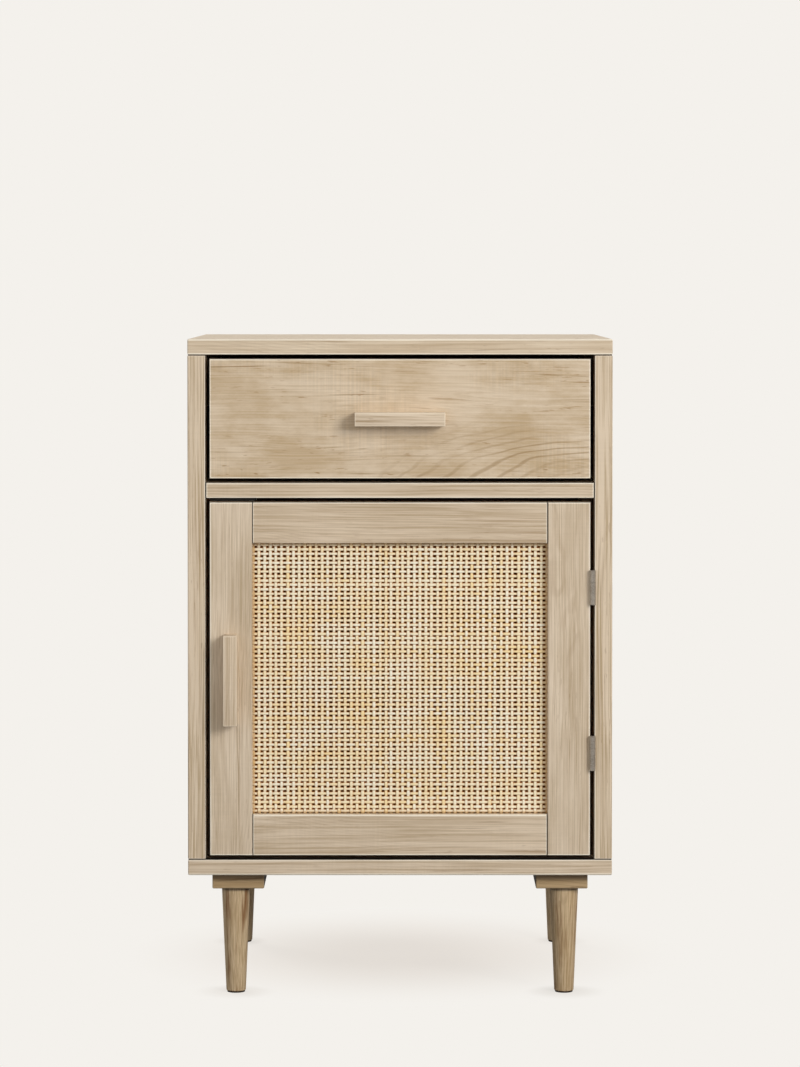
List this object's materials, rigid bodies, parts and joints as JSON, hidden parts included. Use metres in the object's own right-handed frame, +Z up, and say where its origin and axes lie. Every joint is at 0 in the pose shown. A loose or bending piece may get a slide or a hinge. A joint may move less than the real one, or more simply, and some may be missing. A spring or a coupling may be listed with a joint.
{
  "type": "nightstand",
  "caption": "Pale wooden nightstand with a drawer on ball slides above a hinged door of woven cane, standing on tapered round legs.",
  "frame": {"origin": "on the floor, under the middle of the bounding box", "axes": "+Z up, -Y to the front with the drawer and the door, +X to the right, where the hinges are"},
  "size_m": [0.4, 0.372, 0.622],
  "materials": {
    "pale_wood": "matte veneer",
    "leg_wood": "satin oil",
    "drawer_wood": "bare",
    "thin_board": "matte",
    "dowel_wood": "bare",
    "cane": "natural gloss",
    "slide_steel": "zinc plated",
    "ball_steel": "polished",
    "hinge_steel": "satin nickel",
    "screw_steel": "zinc plated",
    "foot_felt": "felt",
    "catch_plastic": "moulded",
    "magnet_iron": "ground"
  },
  "bodies": {
    "cabinet": {"top_panel": "pale_wood", "bottom_panel": "pale_wood", "divider_panel": "pale_wood", "back_panel": "thin_board", "left_side_panel": "pale_wood", "right_side_panel": "pale_wood", "carcass_dowels": "dowel_wood", "bottom_panel_screws": "screw_steel", "back_panel_screws": "screw_steel", "left_leg_runner": "leg_wood", "right_leg_runner": "leg_wood", "front_left_leg": "leg_wood", "front_right_leg": "leg_wood", "rear_left_leg": "leg_wood", "rear_right_leg": "leg_wood", "leg_runner_screws": "screw_steel", "leg_hanger_bolts": "screw_steel", "foot_pads": "foot_felt", "left_cabinet_rail": "slide_steel", "right_cabinet_rail": "slide_steel", "cabinet_rail_screws": "screw_steel", "upper_hinge_cabinet_leaf": "hinge_steel", "lower_hinge_cabinet_leaf": "hinge_steel", "upper_hinge_pin": "hinge_steel", "lower_hinge_pin": "hinge_steel", "hinge_cabinet_screws": "screw_steel", "catch_housing": "catch_plastic", "catch_magnet": "magnet_iron", "catch_screws": "screw_steel"},
    "drawer": {"drawer_front": "pale_wood", "drawer_back": "drawer_wood", "drawer_bottom": "thin_board", "drawer_left_side": "drawer_wood", "drawer_right_side": "drawer_wood", "drawer_dowels": "dowel_wood", "drawer_pull": "pale_wood", "drawer_pull_screws": "screw_steel", "left_drawer_rail": "slide_steel", "right_drawer_rail": "slide_steel", "drawer_rail_screws": "screw_steel"},
    "ball_cages": {"left_ball_cage": "slide_steel", "right_ball_cage": "slide_steel", "slide_balls": "ball_steel"},
    "door": {"door_left_stile": "pale_wood", "door_right_stile": "pale_wood", "door_top_rail": "pale_wood", "door_bottom_rail": "pale_wood", "cane_uprights": "cane", "cane_crosses": "cane", "cane_beads": "pale_wood", "door_pull": "pale_wood", "door_pull_screws": "screw_steel", "upper_hinge_door_leaf": "hinge_steel", "lower_hinge_door_leaf": "hinge_steel", "hinge_door_screws": "screw_steel", "catch_strike_plate": "screw_steel"}
  },
  "joints": [
    {"name": "drawer_slide", "type": "slide", "parent": "cabinet", "child": "drawer", "axis": [0, -1, 0], "range_m": [0, 0.21]},
    {"name": "cage_travel", "type": "slide", "parent": "cabinet", "child": "ball_cages", "axis": [0, -1, 0], "range_m": [0, 0.105]},
    {"name": "door_swing", "type": "hinge", "parent": "cabinet", "child": "door", "pos_m": [0.1813, -0.16665, 0.3015], "axis": [0, 0, 1], "range_deg": [0, 180]}
  ],
  "couplings": [
    {"joint": "cage_travel", "follows": "drawer_slide", "ratio": 0.5}
  ]
}
